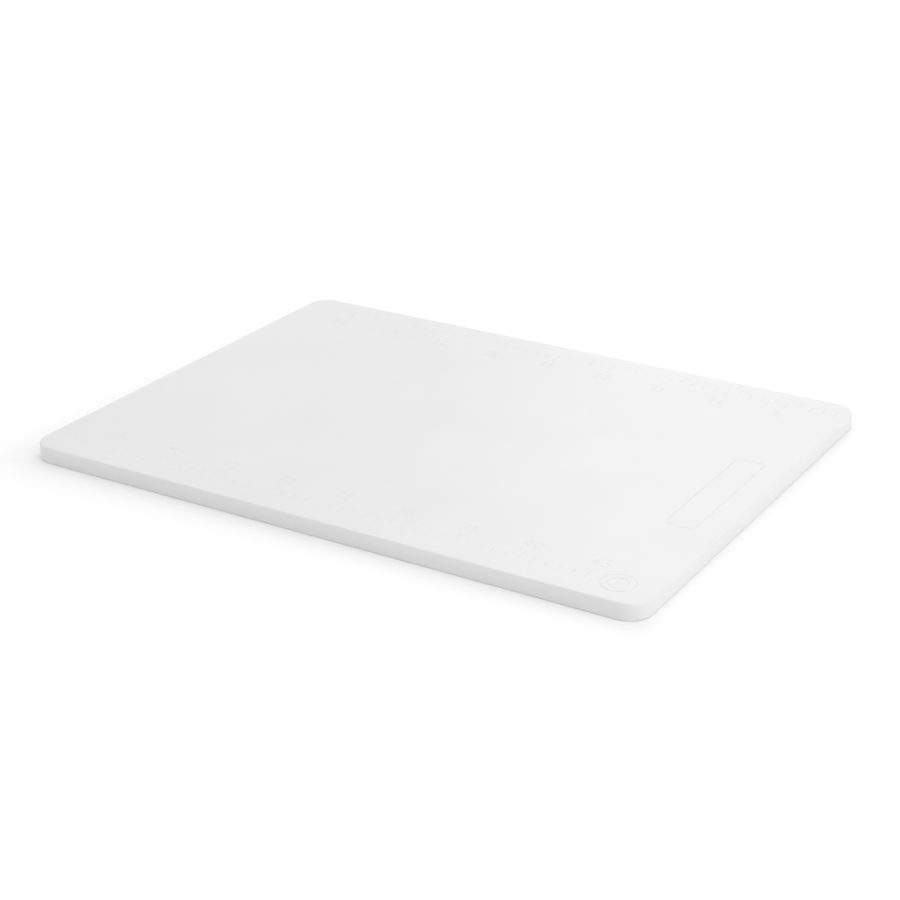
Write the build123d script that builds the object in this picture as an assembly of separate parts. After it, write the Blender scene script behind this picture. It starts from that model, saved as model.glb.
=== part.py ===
from build123d import *
import os

# Butcher's cutting board: one solid slab of white polyethylene with a recessed
# centimetre ruler along both long edges.  Millimetres, +Z up, +X along the long
# edge, origin in the middle of the underside.

# Slab
LENGTH = 500.0
WIDTH = 380.0
THICKNESS = 12.7
CORNER_RADIUS = 17.0
EDGE_RADIUS = 1.0

# Recessed lines, shared by every mark
LINE_WIDTH = 1.0
LINE_DEPTH = 0.25

# Ruler: a tick each centimetre, and a long tick and a number each five
TICK_SPACING = 10.0
TICKS_PER_NUMBER = 5
TICK_COUNT = 45
TICK_SETBACK = 18.0
TICK_LENGTH = 9.0
LONG_TICK_LENGTH = 15.5

# Numerals, measured on the middle of their lines
NUMBER_SETBACK = 43.5
DIGIT_WIDTH = 4.5
DIGIT_HEIGHT = 2 * DIGIT_WIDTH
DIGIT_GAP = 2.5
BOWL_RADIUS = DIGIT_WIDTH / 2

# Ring mark in the corner past the end of the near ruler
RING_SETBACK_X = 28.0
RING_SETBACK_Y = 23.5
RING_RADII = (12.0, 7.0)
DIMPLE_RADIUS = 2.0

# Blank label field along the right-hand end
LABEL_SETBACK = 30.0
LABEL_LENGTH = 124.0
LABEL_WIDTH = 22.0
LABEL_CORNER = 4.0
LABEL_MIDDLE_Y = -9.0


def slab():
    """The board without its marks: a rounded rectangle with softened edges."""
    outline = RectangleRounded(LENGTH, WIDTH, CORNER_RADIUS)
    block = extrude(outline, THICKNESS)
    rims = block.faces().filter_by(Axis.Z).edges()
    return fillet(rims, EDGE_RADIUS)


def tick(length):
    """A round-ended line that runs from the origin along +Y."""
    return Pos(0, length / 2) * SlotOverall(length, LINE_WIDTH, rotation=90)


def stroke(*lines):
    """The face that a round-ended pen leaves along connected lines."""
    outline = offset(Wire(lines), LINE_WIDTH / 2)
    return make_face(outline.edges())


def corner_stroke(*points):
    """A stroke through a list of corner points."""
    return stroke(*[Line(a, b) for a, b in zip(points, points[1:])])


def bowl(middle_y, start, sweep):
    """A round stretch of a numeral, centred on the digit's width.  Angles are in degrees."""
    return CenterArc((DIGIT_WIDTH / 2, middle_y), BOWL_RADIUS, start, sweep)


def digit_zero():
    middle = Pos(DIGIT_WIDTH / 2, DIGIT_HEIGHT / 2)
    outer = SlotOverall(DIGIT_HEIGHT + LINE_WIDTH, DIGIT_WIDTH + LINE_WIDTH, rotation=90)
    inner = SlotOverall(DIGIT_HEIGHT - LINE_WIDTH, DIGIT_WIDTH - LINE_WIDTH, rotation=90)
    return middle * (outer - inner)


def digit_one():
    stem_x = 0.55 * DIGIT_WIDTH
    flag_tip = (0.12 * DIGIT_WIDTH, 0.8 * DIGIT_HEIGHT)
    return corner_stroke(flag_tip, (stem_x, DIGIT_HEIGHT), (stem_x, 0))


def digit_two():
    head_start, head_sweep = 165, -200
    head = bowl(DIGIT_HEIGHT - BOWL_RADIUS, head_start, head_sweep)
    return stroke(head, Line(head @ 1, (0, 0)), Line((0, 0), (DIGIT_WIDTH, 0)))


def digit_three():
    upper_start, lower_start, sweep = 150, 90, -240
    upper = bowl(DIGIT_HEIGHT - BOWL_RADIUS, upper_start, sweep)
    lower = bowl(BOWL_RADIUS, lower_start, sweep)
    return stroke(upper) + stroke(lower)


def digit_four():
    stem_x = 0.7 * DIGIT_WIDTH
    bar_y = 0.3 * DIGIT_HEIGHT
    arm = corner_stroke((stem_x, DIGIT_HEIGHT), (0, bar_y), (DIGIT_WIDTH, bar_y))
    stem = corner_stroke((stem_x, DIGIT_HEIGHT), (stem_x, 0))
    return arm + stem


def digit_five():
    belly_x, belly_radius = 0.45 * DIGIT_WIDTH, 0.29 * DIGIT_HEIGHT
    belly_start, belly_sweep = 125, -260
    belly = CenterArc((belly_x, belly_radius), belly_radius, belly_start, belly_sweep)
    shoulder = (0.14 * DIGIT_WIDTH, DIGIT_HEIGHT)
    flag_tip = (0.92 * DIGIT_WIDTH, DIGIT_HEIGHT)
    return stroke(Line(flag_tip, shoulder), Line(shoulder, belly @ 0), belly)


DIGITS = {
    "0": digit_zero,
    "1": digit_one,
    "2": digit_two,
    "3": digit_three,
    "4": digit_four,
    "5": digit_five,
}


def number(value):
    """A whole number as recessed faces, centred on the origin."""
    text = str(value)
    pitch = DIGIT_WIDTH + DIGIT_GAP
    start_x = -(len(text) * pitch - DIGIT_GAP) / 2
    faces = []
    for place, character in enumerate(text):
        spot = Pos(start_x + place * pitch, -DIGIT_HEIGHT / 2)
        faces.append(spot * DIGITS[character]())
    return faces


def ruler():
    """Ticks and numbers for one long edge, laid out as if that edge ran along y = 0."""
    faces = []
    for index in range(1, TICK_COUNT + 1):
        numbered = index % TICKS_PER_NUMBER == 0
        x = index * TICK_SPACING - LENGTH / 2
        length = LONG_TICK_LENGTH if numbered else TICK_LENGTH
        faces.append(Pos(x, TICK_SETBACK) * tick(length))
        if numbered:
            faces += [Pos(x, NUMBER_SETBACK) * face for face in number(index)]
    return faces


def ring_mark():
    """Concentric ring lines round a small dimple."""
    faces = [Circle(DIMPLE_RADIUS)]
    for radius in RING_RADII:
        faces.append(Circle(radius + LINE_WIDTH / 2) - Circle(radius - LINE_WIDTH / 2))
    return faces


def label_field():
    """The outline of a blank rounded field, long side along Y."""
    half = LINE_WIDTH / 2
    outer = RectangleRounded(LABEL_WIDTH + LINE_WIDTH, LABEL_LENGTH + LINE_WIDTH, LABEL_CORNER + half)
    inner = RectangleRounded(LABEL_WIDTH - LINE_WIDTH, LABEL_LENGTH - LINE_WIDTH, LABEL_CORNER - half)
    return outer - inner


def marks():
    """Every recessed face on the top, in plan."""
    near_edge = Pos(0, -WIDTH / 2)
    far_edge = Rot(0, 0, 180) * near_edge
    faces = [edge * face for edge in (near_edge, far_edge) for face in ruler()]
    ring_place = Pos(LENGTH / 2 - RING_SETBACK_X, RING_SETBACK_Y - WIDTH / 2)
    faces += [ring_place * face for face in ring_mark()]
    faces.append(Pos(LENGTH / 2 - LABEL_SETBACK, LABEL_MIDDLE_Y) * label_field())
    return faces


def board():
    """The finished slab with all marks sunk into its top."""
    top = Pos(0, 0, THICKNESS)
    cutters = [extrude(top * face, -LINE_DEPTH) for face in marks()]
    body = slab() - cutters
    body.label = "board"
    return body


os.makedirs("parts", exist_ok=True)
export_step(board(), "parts/board.step")
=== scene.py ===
import math

import bpy
import numpy as np
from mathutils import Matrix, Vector
from mathutils.geometry import delaunay_2d_cdt


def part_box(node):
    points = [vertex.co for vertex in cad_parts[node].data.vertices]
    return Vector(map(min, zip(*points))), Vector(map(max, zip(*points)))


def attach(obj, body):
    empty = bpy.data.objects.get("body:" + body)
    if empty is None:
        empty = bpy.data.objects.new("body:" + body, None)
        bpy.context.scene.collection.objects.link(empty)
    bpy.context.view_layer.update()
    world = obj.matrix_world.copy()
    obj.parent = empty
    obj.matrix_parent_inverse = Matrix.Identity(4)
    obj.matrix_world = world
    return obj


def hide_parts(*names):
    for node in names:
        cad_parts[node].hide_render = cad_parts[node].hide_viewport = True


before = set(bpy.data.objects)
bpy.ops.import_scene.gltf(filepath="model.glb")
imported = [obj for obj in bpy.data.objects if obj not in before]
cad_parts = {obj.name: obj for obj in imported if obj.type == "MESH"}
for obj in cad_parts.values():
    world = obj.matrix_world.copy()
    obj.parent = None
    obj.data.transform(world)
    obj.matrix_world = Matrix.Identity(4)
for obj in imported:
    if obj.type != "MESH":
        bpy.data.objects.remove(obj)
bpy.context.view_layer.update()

# ---------------------------------------------------------------------------
# Sizes, in millimetres unless a name says otherwise
# ---------------------------------------------------------------------------
MM = 0.001

# Slab
BOARD_LOW, BOARD_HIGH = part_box("board")
LENGTH, WIDTH, THICKNESS = (BOARD_HIGH - BOARD_LOW) / MM
CORNER_RADIUS = 17.0
EDGE_RADIUS = 1.0

# Recessed lines: a flat floor, and walls that round over at the rim and at the foot
LINE_DEPTH = 0.25
LINE_FLOOR_HALF = 0.30
LINE_RIM_HALF = 0.62

# Ruler: a tick each centimetre, and a long tick and a number each five, measured on the
# middle of their lines
TICK_SPACING = 10.0
TICKS_PER_NUMBER = 5
TICK_COUNT = 45
TICK_SETBACK = 18.5
TICK_RUN = 8.0
LONG_TICK_RUN = 14.5
NUMBER_SETBACK = 43.5
DIGIT_WIDTH = 4.5
DIGIT_HEIGHT = 2 * DIGIT_WIDTH
DIGIT_GAP = 2.5
BOWL_RADIUS = DIGIT_WIDTH / 2
UPPER_BOWL = (BOWL_RADIUS, DIGIT_HEIGHT - BOWL_RADIUS)
LOWER_BOWL = (BOWL_RADIUS, BOWL_RADIUS)

# Ring mark in the corner past the end of the near ruler
RING_SETBACK_X = 28.0
RING_SETBACK_Y = 23.5
RING_RADII = (12.0, 7.0)
DIMPLE_RADIUS = 2.0

# Blank label field along the right-hand end
LABEL_SETBACK = 30.0
LABEL_LENGTH = 124.0
LABEL_WIDTH = 22.0
LABEL_CORNER = 4.0
LABEL_MIDDLE_Y = -9.0

# Fineness of the mesh: steps round a corner of the slab, steps round its soft edges, points
# down a line's wall, and degrees per step along a round line and round a line's end
CORNER_STEPS = 20
EDGE_STEPS = 8
WALL_LEVELS = 5
CURVE_STEP = 10.0
CAP_STEP = 20.0

# Points closer together than MERGE_DISTANCE become one, and TINY keeps a division off zero
MERGE_DISTANCE = 1e-4
TINY = 1e-9


# ---------------------------------------------------------------------------
# Pen strokes: each knows its outlines at a given half width, and the nearest
# point of its middle line to each of a list of points
# ---------------------------------------------------------------------------
def polar(centre, radius, degrees):
    angle = math.radians(degrees)
    return (centre[0] + radius * math.cos(angle), centre[1] + radius * math.sin(angle))


def arc_points(centre, radius, start, sweep, step=CAP_STEP):
    """Points along an arc given in degrees, both ends included."""
    count = max(2, math.ceil(abs(sweep) / step)) + 1
    return [polar(centre, radius, start + sweep * i / (count - 1)) for i in range(count)]


class Segment:
    """A straight stroke."""

    def __init__(self, start, end):
        self.start = np.array(start, float)
        self.end = np.array(end, float)

    def outlines(self, half):
        run = self.end - self.start
        heading = math.degrees(math.atan2(run[1], run[0]))
        far_cap = arc_points(self.end, half, heading - 90, 180)
        near_cap = arc_points(self.start, half, heading + 90, 180)
        return [far_cap + near_cap]

    def nearest(self, points):
        run = self.end - self.start
        along = np.clip((points - self.start) @ run / (run @ run), 0, 1)
        return self.start + along[:, None] * run


class Arc:
    """A round stroke.  A sweep of 360 degrees closes on itself."""

    def __init__(self, centre, radius, start, sweep):
        self.centre = np.array(centre, float)
        self.radius = radius
        self.start = start
        self.sweep = sweep

    def outlines(self, half):
        outer = arc_points(self.centre, self.radius + half, self.start, self.sweep, CURVE_STEP)
        inner = arc_points(self.centre, self.radius - half, self.start, self.sweep, CURVE_STEP)
        if abs(self.sweep) == 360:
            return [outer[:-1], inner[:-1]]
        turn = math.copysign(180, self.sweep)
        last = self.start + self.sweep
        far_cap = arc_points(polar(self.centre, self.radius, last), half, last, turn)
        near_cap = arc_points(polar(self.centre, self.radius, self.start), half, self.start + 180, turn)
        return [outer + far_cap[1:-1] + inner[::-1] + near_cap[1:-1]]

    def nearest(self, points):
        offset = points - self.centre
        angle = np.degrees(np.arctan2(offset[:, 1], offset[:, 0]))
        turned = (angle - self.start) * math.copysign(1, self.sweep) % 360
        span = abs(self.sweep)
        # A point beyond the sweep is nearest to the end that it has turned less far past
        past_end = (turned > span) & (turned < (span + 360) / 2)
        turned = np.where(turned <= span, turned, np.where(past_end, span, 0))
        angle = np.radians(self.start + turned * math.copysign(1, self.sweep))
        rim = np.stack([np.cos(angle), np.sin(angle)], axis=1)
        return self.centre + self.radius * rim


class Disc:
    """A round hollow whose wall is like a stroke's."""

    def __init__(self, centre, radius):
        self.centre = np.array(centre, float)
        self.floor_radius = radius - (LINE_FLOOR_HALF + LINE_RIM_HALF) / 2

    def outlines(self, half):
        return [arc_points(self.centre, self.floor_radius + half, 0, 360)[:-1]]

    def nearest(self, points):
        offset = points - self.centre
        reach = np.linalg.norm(offset, axis=1, keepdims=True)
        return self.centre + offset * np.minimum(1, self.floor_radius / np.maximum(reach, TINY))


def chain(*corners):
    """Straight strokes through a list of corner points."""
    return [Segment(a, b) for a, b in zip(corners, corners[1:])]


# ---------------------------------------------------------------------------
# Numerals and marks, as lists of strokes
# ---------------------------------------------------------------------------
# A numeral stands in a box DIGIT_WIDTH by DIGIT_HEIGHT, with the origin at its lower left
def zero_strokes():
    left = Segment((0, BOWL_RADIUS), (0, DIGIT_HEIGHT - BOWL_RADIUS))
    right = Segment((DIGIT_WIDTH, BOWL_RADIUS), (DIGIT_WIDTH, DIGIT_HEIGHT - BOWL_RADIUS))
    return [left, right, Arc(UPPER_BOWL, BOWL_RADIUS, 0, 180), Arc(LOWER_BOWL, BOWL_RADIUS, 180, 180)]


def one_strokes():
    stem_x = 0.55 * DIGIT_WIDTH
    flag_tip = (0.12 * DIGIT_WIDTH, 0.8 * DIGIT_HEIGHT)
    return chain(flag_tip, (stem_x, DIGIT_HEIGHT), (stem_x, 0))


def two_strokes():
    head_start, head_sweep = 165, -200
    head = Arc(UPPER_BOWL, BOWL_RADIUS, head_start, head_sweep)
    neck = polar(UPPER_BOWL, BOWL_RADIUS, head_start + head_sweep)
    return [head] + chain(neck, (0, 0), (DIGIT_WIDTH, 0))


def three_strokes():
    upper_start, lower_start, sweep = 150, 90, -240
    upper = Arc(UPPER_BOWL, BOWL_RADIUS, upper_start, sweep)
    lower = Arc(LOWER_BOWL, BOWL_RADIUS, lower_start, sweep)
    return [upper, lower]


def four_strokes():
    stem_x = 0.7 * DIGIT_WIDTH
    bar_y = 0.3 * DIGIT_HEIGHT
    arm = chain((stem_x, DIGIT_HEIGHT), (0, bar_y), (DIGIT_WIDTH, bar_y))
    stem = chain((stem_x, DIGIT_HEIGHT), (stem_x, 0))
    return arm + stem


def five_strokes():
    belly_radius = 0.29 * DIGIT_HEIGHT
    belly_middle = (0.45 * DIGIT_WIDTH, belly_radius)
    belly_start, belly_sweep = 125, -260
    belly = Arc(belly_middle, belly_radius, belly_start, belly_sweep)
    flag_tip = (0.92 * DIGIT_WIDTH, DIGIT_HEIGHT)
    shoulder = (0.14 * DIGIT_WIDTH, DIGIT_HEIGHT)
    neck = polar(belly_middle, belly_radius, belly_start)
    return chain(flag_tip, shoulder, neck) + [belly]


DIGITS = {
    "0": zero_strokes,
    "1": one_strokes,
    "2": two_strokes,
    "3": three_strokes,
    "4": four_strokes,
    "5": five_strokes,
}


def placed(stroke, x, y, half_turn=False):
    """The stroke moved by x, y, and then turned half round about the board's middle."""
    sign = -1 if half_turn else 1
    shift = np.array((x, y))
    if isinstance(stroke, Segment):
        return Segment(sign * (stroke.start + shift), sign * (stroke.end + shift))
    start = stroke.start + (180 if half_turn else 0)
    return Arc(sign * (stroke.centre + shift), stroke.radius, start, stroke.sweep)


def ruler_strokes(half_turn):
    """Ticks and numbers along the -Y edge, or along the +Y edge with a half turn."""
    strokes = []
    pitch = DIGIT_WIDTH + DIGIT_GAP
    edge_y = -WIDTH / 2
    for index in range(1, TICK_COUNT + 1):
        numbered = index % TICKS_PER_NUMBER == 0
        x = index * TICK_SPACING - LENGTH / 2
        run = LONG_TICK_RUN if numbered else TICK_RUN
        tick = Segment((0, 0), (0, run))
        strokes.append(placed(tick, x, edge_y + TICK_SETBACK, half_turn))
        if not numbered:
            continue
        text = str(index)
        left = x - (len(text) * pitch - DIGIT_GAP) / 2
        bottom = edge_y + NUMBER_SETBACK - DIGIT_HEIGHT / 2
        for place, character in enumerate(text):
            for stroke in DIGITS[character]():
                strokes.append(placed(stroke, left + place * pitch, bottom, half_turn))
    return strokes


def ring_strokes():
    """Concentric ring lines round a small dimple."""
    centre = (LENGTH / 2 - RING_SETBACK_X, RING_SETBACK_Y - WIDTH / 2)
    return [Arc(centre, radius, 0, 360) for radius in RING_RADII] + [Disc(centre, DIMPLE_RADIUS)]


def label_strokes():
    """A blank rounded field, its long side along Y."""
    middle_x = LENGTH / 2 - LABEL_SETBACK
    half_x, half_y, corner = LABEL_WIDTH / 2, LABEL_LENGTH / 2, LABEL_CORNER
    strokes = []
    for side in (1, -1):
        x, y = middle_x + side * half_x, LABEL_MIDDLE_Y + side * half_y
        strokes.append(Segment((x, LABEL_MIDDLE_Y - half_y + corner), (x, LABEL_MIDDLE_Y + half_y - corner)))
        strokes.append(Segment((middle_x - half_x + corner, y), (middle_x + half_x - corner, y)))
    for start, sx, sy in ((0, 1, 1), (90, -1, 1), (180, -1, -1), (270, 1, -1)):
        centre = (middle_x + sx * (half_x - corner), LABEL_MIDDLE_Y + sy * (half_y - corner))
        strokes.append(Arc(centre, corner, start, 90))
    return strokes


# ---------------------------------------------------------------------------
# The board's mesh
# ---------------------------------------------------------------------------
def loop_points(inset):
    """The slab's outline set in by a distance: points, and their outward directions."""
    points, outward = [], []
    for quarter in range(4):
        sx = 1 if quarter in (0, 3) else -1
        sy = 1 if quarter in (0, 1) else -1
        centre = (sx * (LENGTH / 2 - CORNER_RADIUS), sy * (WIDTH / 2 - CORNER_RADIUS))
        for i in range(CORNER_STEPS + 1):
            degrees = 90 * (quarter + i / CORNER_STEPS)
            points.append(polar(centre, CORNER_RADIUS - inset, degrees))
            outward.append(polar((0, 0), 1, degrees))
    return points, outward


def wall_profile(distance):
    """Depth below the top, and slope, at a distance from a stroke's middle line.

    The wall is an S curve, level at the floor and at the rim.
    """
    t = np.clip((distance - LINE_FLOOR_HALF) / (LINE_RIM_HALF - LINE_FLOOR_HALF), 0, 1)
    depth = LINE_DEPTH * (1 - t * t * (3 - 2 * t))
    slope = LINE_DEPTH * 6 * t * (1 - t) / (LINE_RIM_HALF - LINE_FLOOR_HALF)
    return depth, slope


def top_surface(rim, strokes):
    """Points, normals and triangles of the top, inside the rim, with the strokes sunk in."""
    points = list(rim)
    edges = [(i, (i + 1) % len(rim)) for i in range(len(rim))]

    # Outlines down each wall, from the floor's edge out to the rim of the line
    for stroke in strokes:
        for level in range(WALL_LEVELS):
            half = LINE_FLOOR_HALF + (LINE_RIM_HALF - LINE_FLOOR_HALF) * level / (WALL_LEVELS - 1)
            for outline in stroke.outlines(half):
                first = len(points)
                count = len(outline)
                points += outline
                edges += [(first + i, first + (i + 1) % count) for i in range(count)]

    # Output type 0 keeps every triangle inside the outermost outline
    whole_outline = 0
    flat, _, triangles, origins, *_ = delaunay_2d_cdt(
        [Vector(p) for p in points], edges, [], whole_outline, MERGE_DISTANCE
    )

    # Each point takes its depth and slope from the stroke nearest to it
    plan = np.array([(p.x, p.y) for p in flat])
    best = np.full(len(plan), np.inf)
    away = np.zeros_like(plan)
    for stroke in strokes:
        offset = plan - stroke.nearest(plan)
        distance = np.linalg.norm(offset, axis=1)
        closer = distance < best
        best[closer] = distance[closer]
        away[closer] = offset[closer] / np.maximum(distance[closer], TINY)[:, None]
    depth, slope = wall_profile(best)
    heights = THICKNESS - depth
    normals = np.column_stack([-away * slope[:, None], np.ones(len(plan))])

    # The slab's rim, as points of the new mesh in the order that they were given
    rim_index = {origin: i for i, sources in enumerate(origins) for origin in sources if origin < len(rim)}
    return np.column_stack([plan, heights]), normals, triangles, [rim_index[i] for i in range(len(rim))]


def board_mesh():
    """The slab with soft edges and every mark, with exact normals."""
    strokes = ruler_strokes(False) + ruler_strokes(True) + ring_strokes() + label_strokes()
    rim, _ = loop_points(EDGE_RADIUS)
    top, normals, faces, ring = top_surface(rim, strokes)
    points = [tuple(point) for point in top]
    normals = [tuple(normal) for normal in normals]
    faces = [tuple(f) for f in faces]

    # Rings of points down the upper and then the lower soft edge, by degrees from straight up
    turns = [90 * i / EDGE_STEPS for i in range(1, EDGE_STEPS + 1)]
    turns += [90 + 90 * i / EDGE_STEPS for i in range(EDGE_STEPS + 1)]
    for i, turn in enumerate(turns):
        upper = i < EDGE_STEPS
        out, up = math.sin(math.radians(turn)), math.cos(math.radians(turn))
        plan, outward = loop_points(EDGE_RADIUS * (1 - out))
        middle = THICKNESS - EDGE_RADIUS if upper else EDGE_RADIUS
        first = len(points)
        points += [(x, y, middle + EDGE_RADIUS * up) for x, y in plan]
        normals += [(x * out, y * out, up) for x, y in outward]
        below = list(range(first, first + len(plan)))
        for a in range(len(plan)):
            b = (a + 1) % len(plan)
            faces.append((ring[a], below[a], below[b], ring[b]))
        ring = below
    faces.append(tuple(reversed(ring)))

    mesh = bpy.data.meshes.new("cutting_board")
    mesh.from_pydata([Vector(p) * MM for p in points], [], faces)
    mesh.polygons.foreach_set("use_smooth", [True] * len(mesh.polygons))
    mesh.normals_split_custom_set_from_vertices([Vector(n).normalized() for n in normals])
    return mesh


# ---------------------------------------------------------------------------
# The board's material, in metres
# ---------------------------------------------------------------------------
HDPE_SHADE = (0.79, 0.79, 0.789)
HDPE_LIGHT = (0.808, 0.808, 0.806)
HDPE_IOR = 1.54
SCATTER_WEIGHT = 0.3
SCATTER_RADIUS = (1, 1, 1)
SCATTER_SCALE = 0.0015

# Noises, as features per metre and octaves of finer detail
CLOUDS = (14.0, 3)
WAVES = (38.0, 1)
GRAIN = (900.0, 2)
GLOSS_PATCHES = (30.0, 4)
GLOSS_SPOTS = (180.0, 2)
STREAKS = (1.0, 2)

# The streaks run along the sides: their scale is multiplied by this along X, Y and Z
STREAK_STRETCH = (9.0, 9.0, 1000.0)

WAVE_HEIGHT = 0.00012
GRAIN_HEIGHT = 0.00002
FLAT_ROUGHNESS = (0.30, 0.40)
SIDE_ROUGHNESS = (0.33, 0.45)

# The part of 0 to 1 that a noise mostly fills, and the normal's Z from a side to a flat face
NOISE_RANGE = (0.3, 0.7)
FLATNESS_RANGE = (0.25, 0.75)


def polyethylene():
    """Satin white high-density polyethylene: moulded grain on the flat faces, planed sides."""
    material = bpy.data.materials.new("hdpe")
    material.use_nodes = True
    nodes, links = material.node_tree.nodes, material.node_tree.links
    shader = nodes["Principled BSDF"]
    place = nodes.new("ShaderNodeTexCoord")

    def noise(scale, detail, stretch=(1, 1, 1)):
        """Grey noise in object space, with a stretch that multiplies its scale along X, Y and Z."""
        mapping = nodes.new("ShaderNodeMapping")
        mapping.inputs["Scale"].default_value = stretch
        links.new(place.outputs["Object"], mapping.inputs["Vector"])
        texture = nodes.new("ShaderNodeTexNoise")
        texture.inputs["Scale"].default_value = scale
        texture.inputs["Detail"].default_value = detail
        links.new(mapping.outputs["Vector"], texture.inputs["Vector"])
        return texture.outputs["Fac"]

    def ranged(value, given, wanted):
        """The value taken from one range to another."""
        node = nodes.new("ShaderNodeMapRange")
        node.inputs["From Min"].default_value, node.inputs["From Max"].default_value = given
        node.inputs["To Min"].default_value, node.inputs["To Max"].default_value = wanted
        links.new(value, node.inputs["Value"])
        return node.outputs["Result"]

    def mixed(amount, a, b):
        """One number blended into another by an amount."""
        node = nodes.new("ShaderNodeMix")
        node.data_type = "FLOAT"
        links.new(amount, node.inputs["Factor"])
        links.new(a, node.inputs["A"])
        links.new(b, node.inputs["B"])
        return node.outputs["Result"]

    def bump(height, distance, below=None):
        """A bump of a height in metres, on top of another one."""
        node = nodes.new("ShaderNodeBump")
        node.inputs["Distance"].default_value = distance
        links.new(height, node.inputs["Height"])
        if below:
            links.new(below, node.inputs["Normal"])
        return node.outputs["Normal"]

    # 1 on the planed sides, 0 on the flat faces, and in between on the soft edges
    split = nodes.new("ShaderNodeSeparateXYZ")
    links.new(place.outputs["Normal"], split.inputs["Vector"])
    flatness = nodes.new("ShaderNodeMath")
    flatness.operation = "ABSOLUTE"
    links.new(split.outputs["Z"], flatness.inputs[0])
    side = ranged(flatness.outputs["Value"], FLATNESS_RANGE, (1, 0))

    # Faint clouds in the white
    tint = nodes.new("ShaderNodeValToRGB")
    darker, lighter = tint.color_ramp.elements
    darker.position, lighter.position = NOISE_RANGE
    darker.color = (*HDPE_SHADE, 1)
    lighter.color = (*HDPE_LIGHT, 1)
    links.new(noise(*CLOUDS), tint.inputs["Fac"])
    links.new(tint.outputs["Color"], shader.inputs["Base Color"])

    # Gloss: patches that are either grained or spotted on the flat faces, streaks on the sides
    grain = noise(*GRAIN)
    streaks = noise(*STREAKS, STREAK_STRETCH)
    patches = ranged(noise(*GLOSS_PATCHES), NOISE_RANGE, (0, 1))
    flat_gloss = ranged(mixed(patches, grain, noise(*GLOSS_SPOTS)), NOISE_RANGE, FLAT_ROUGHNESS)
    side_gloss = ranged(streaks, NOISE_RANGE, SIDE_ROUGHNESS)
    links.new(mixed(side, flat_gloss, side_gloss), shader.inputs["Roughness"])

    # Relief: moulded grain or planing streaks, on long low waves
    waves = bump(noise(*WAVES), WAVE_HEIGHT)
    fine = mixed(side, grain, ranged(streaks, NOISE_RANGE, (0, 1)))
    links.new(bump(fine, GRAIN_HEIGHT, waves), shader.inputs["Normal"])

    shader.inputs["IOR"].default_value = HDPE_IOR
    shader.inputs["Subsurface Weight"].default_value = SCATTER_WEIGHT
    shader.inputs["Subsurface Radius"].default_value = SCATTER_RADIUS
    shader.inputs["Subsurface Scale"].default_value = SCATTER_SCALE
    return material


# ---------------------------------------------------------------------------
# Studio, in metres and degrees, with the lens, sensor and aim in millimetres
# ---------------------------------------------------------------------------
FLOOR_RADIUS = 18.0
FLOOR_POINTS = 64
FLOOR_SHADE = (0.95, 0.95, 0.95)
FLOOR_ROUGHNESS = 0.9
# Painted light on the floor: its glow beside the board, growing to plain white at GLOW_REACH metres out; the
# faint glow near the board is painted shade
FLOOR_PAINTED_GLOW = 0.02
GLOW_REACH = 0.65
BACKDROP_HEIGHT = 18.0
WORLD_LEVEL = 0.5
SOFTBOX_DISTANCE = 1.6
SOFTBOX_SIZE = 1.4
SOFTBOXES = (
    # name, bearing, elevation, level
    ("rear_left", -60, 25, 0.12),
    ("rear", 0, 25, 0.115),
    ("rear_high", 0, 60, 0.15),
    ("rear_right", 30, 25, 0.13),
    ("right", 120, 25, 0.28),
    ("front_high", 180, 60, 0.27),
)
VIEW_AZIMUTH = 31.02
VIEW_ELEVATION = 23.64
VIEW_DISTANCE = 1.4965
VIEW_LENS = 79.17
SENSOR_WIDTH = 36.0
AIM_RIGHT = -2.2
AIM_UP = -7.1


def direction(azimuth, elevation):
    """Unit vector from the board towards a point seen at that azimuth and elevation."""
    a, e = math.radians(azimuth), math.radians(elevation)
    return Vector((math.sin(a) * math.cos(e), -math.cos(a) * math.cos(e), math.sin(e)))


def add_camera():
    """The camera, aimed a little beside the board's middle."""
    back = direction(VIEW_AZIMUTH, VIEW_ELEVATION)
    right = (-back).cross(Vector((0, 0, 1))).normalized()
    up = back.cross(right)
    aim = (right * AIM_RIGHT + up * AIM_UP) * MM
    data = bpy.data.cameras.new("camera")
    data.lens = VIEW_LENS
    data.sensor_width = SENSOR_WIDTH
    camera = bpy.data.objects.new("camera", data)
    camera.location = aim + back * VIEW_DISTANCE
    camera.rotation_euler = (-back).to_track_quat("-Z", "Y").to_euler()
    bpy.context.scene.collection.objects.link(camera)
    bpy.context.scene.camera = camera


def add_softbox(name, bearing, elevation, level):
    """A soft square light aimed at the board.

    The bearing is clockwise from directly behind the board as the camera sees it, and the level
    is about what a white face turned to the light shows at the board's middle.
    """
    data = bpy.data.lights.new(name, "AREA")
    data.size = SOFTBOX_SIZE
    data.energy = level * (math.pi * SOFTBOX_DISTANCE) ** 2
    towards = direction(VIEW_AZIMUTH + 180 - bearing, elevation)
    softbox = bpy.data.objects.new(name, data)
    softbox.location = towards * SOFTBOX_DISTANCE
    softbox.rotation_euler = towards.to_track_quat("Z", "Y").to_euler()
    softbox.visible_camera = False
    bpy.context.scene.collection.objects.link(softbox)


def add_world(level):
    """Even grey light from all sides."""
    world = bpy.data.worlds.new("studio")
    world.use_nodes = True
    world.node_tree.nodes["Background"].inputs["Color"].default_value = (level, level, level, 1)
    bpy.context.scene.world = world


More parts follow.
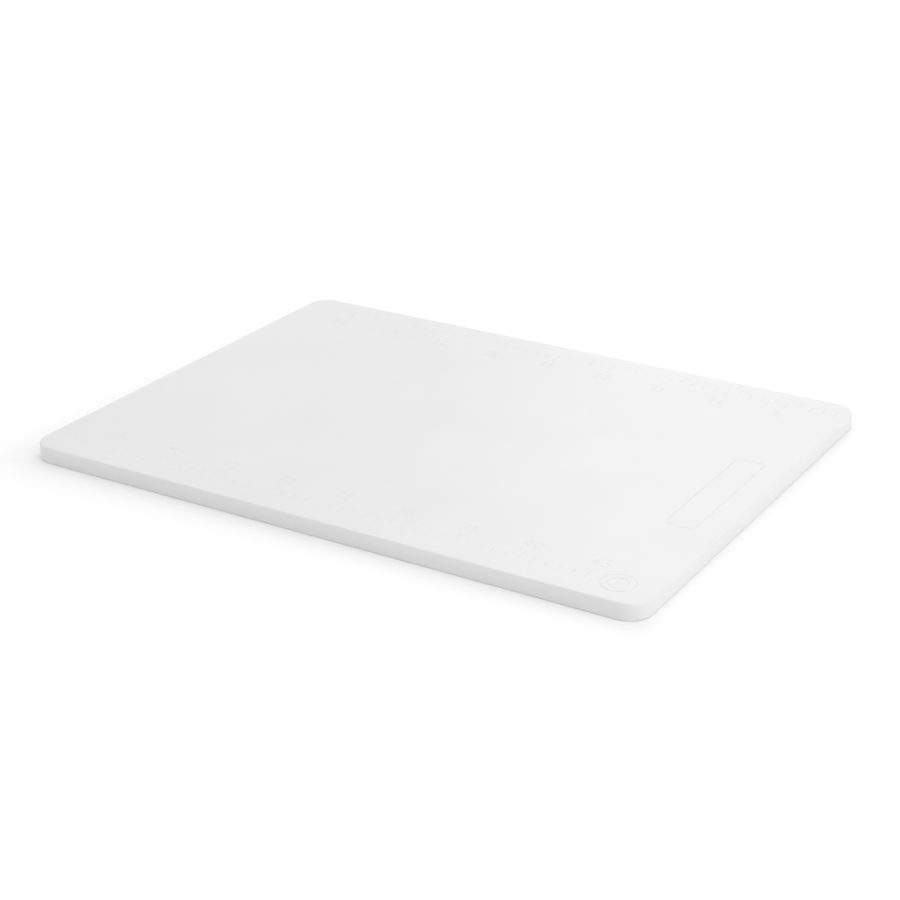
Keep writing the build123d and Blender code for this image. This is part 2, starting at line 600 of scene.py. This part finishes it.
def floor_material():
    """White paper with painted light: a glow that grows from faint beside the board, which leaves painted
    shade round it, to plain white at GLOW_REACH.
    """
    material = bpy.data.materials.new("floor")
    material.use_nodes = True
    nodes, links = material.node_tree.nodes, material.node_tree.links
    shader = nodes["Principled BSDF"]
    shader.inputs["Base Color"].default_value = (*FLOOR_SHADE, 1)
    shader.inputs["Roughness"].default_value = FLOOR_ROUGHNESS
    shader.inputs["Specular IOR Level"].default_value = 0.0
    shader.inputs["Emission Color"].default_value = (1, 1, 1, 1)

    # How far a point lies past the board's sides, along X or Y, whichever is more
    place = nodes.new("ShaderNodeTexCoord")
    mirrored = nodes.new("ShaderNodeVectorMath")
    mirrored.operation = "ABSOLUTE"
    links.new(place.outputs["Object"], mirrored.inputs[0])
    beyond = nodes.new("ShaderNodeVectorMath")
    beyond.operation = "SUBTRACT"
    beyond.inputs[1].default_value = (LENGTH / 2 * MM, WIDTH / 2 * MM, 0)
    links.new(mirrored.outputs["Vector"], beyond.inputs[0])
    split = nodes.new("ShaderNodeSeparateXYZ")
    links.new(beyond.outputs["Vector"], split.inputs["Vector"])
    farther = nodes.new("ShaderNodeMath")
    farther.operation = "MAXIMUM"
    links.new(split.outputs["X"], farther.inputs[0])
    links.new(split.outputs["Y"], farther.inputs[1])

    # Painted light: the floor glows faintly beside the board, which is painted shade, and plain white from
    # GLOW_REACH out
    glow = nodes.new("ShaderNodeMapRange")
    glow.inputs["From Max"].default_value = GLOW_REACH
    glow.inputs["To Min"].default_value = FLOOR_PAINTED_GLOW
    links.new(farther.outputs["Value"], glow.inputs["Value"])
    links.new(glow.outputs["Result"], shader.inputs["Emission Strength"])
    return material


def backdrop_material():
    """Plain white that takes no light and no shade."""
    material = bpy.data.materials.new("backdrop")
    material.use_nodes = True
    shader = material.node_tree.nodes["Principled BSDF"]
    shader.inputs["Base Color"].default_value = (0, 0, 0, 1)
    shader.inputs["Specular IOR Level"].default_value = 0.0
    shader.inputs["Emission Color"].default_value = (1, 1, 1, 1)
    shader.inputs["Emission Strength"].default_value = 1.0
    return material


def add_stage(name, points, faces, material):
    """A mesh that isn't part of the object."""
    mesh = bpy.data.meshes.new(name)
    mesh.from_pydata(points, [], faces)
    mesh.materials.append(material)
    piece = bpy.data.objects.new(name, mesh)
    bpy.context.scene.collection.objects.link(piece)
    return piece


def add_surroundings():
    """A round floor, and a white drum round it that only the camera sees and that gives no light."""
    count = FLOOR_POINTS
    circle = [polar((0, 0), FLOOR_RADIUS, 360 * i / count) for i in range(count)]
    low = [(x, y, 0) for x, y in circle]
    high = [(x, y, BACKDROP_HEIGHT) for x, y in circle]
    add_stage("floor", low, [tuple(range(count))], floor_material())
    wall = [(i, (i + 1) % count, count + (i + 1) % count, count + i) for i in range(count)]
    lid = tuple(range(count, 2 * count))
    backdrop = add_stage("backdrop", low + high, wall + [lid], backdrop_material())
    backdrop.visible_diffuse = False
    backdrop.visible_glossy = False
    backdrop.visible_transmission = False
    backdrop.visible_volume_scatter = False
    backdrop.visible_shadow = False


# ---------------------------------------------------------------------------
# Scene
# ---------------------------------------------------------------------------
board = bpy.data.objects.new("cutting_board", board_mesh())
board.data.materials.append(polyethylene())
bpy.context.scene.collection.objects.link(board)
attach(board, "root")
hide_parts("board")

add_surroundings()
add_camera()
add_world(WORLD_LEVEL)
for softbox in SOFTBOXES:
    add_softbox(*softbox)
bpy.context.scene.view_settings.view_transform = "Standard"
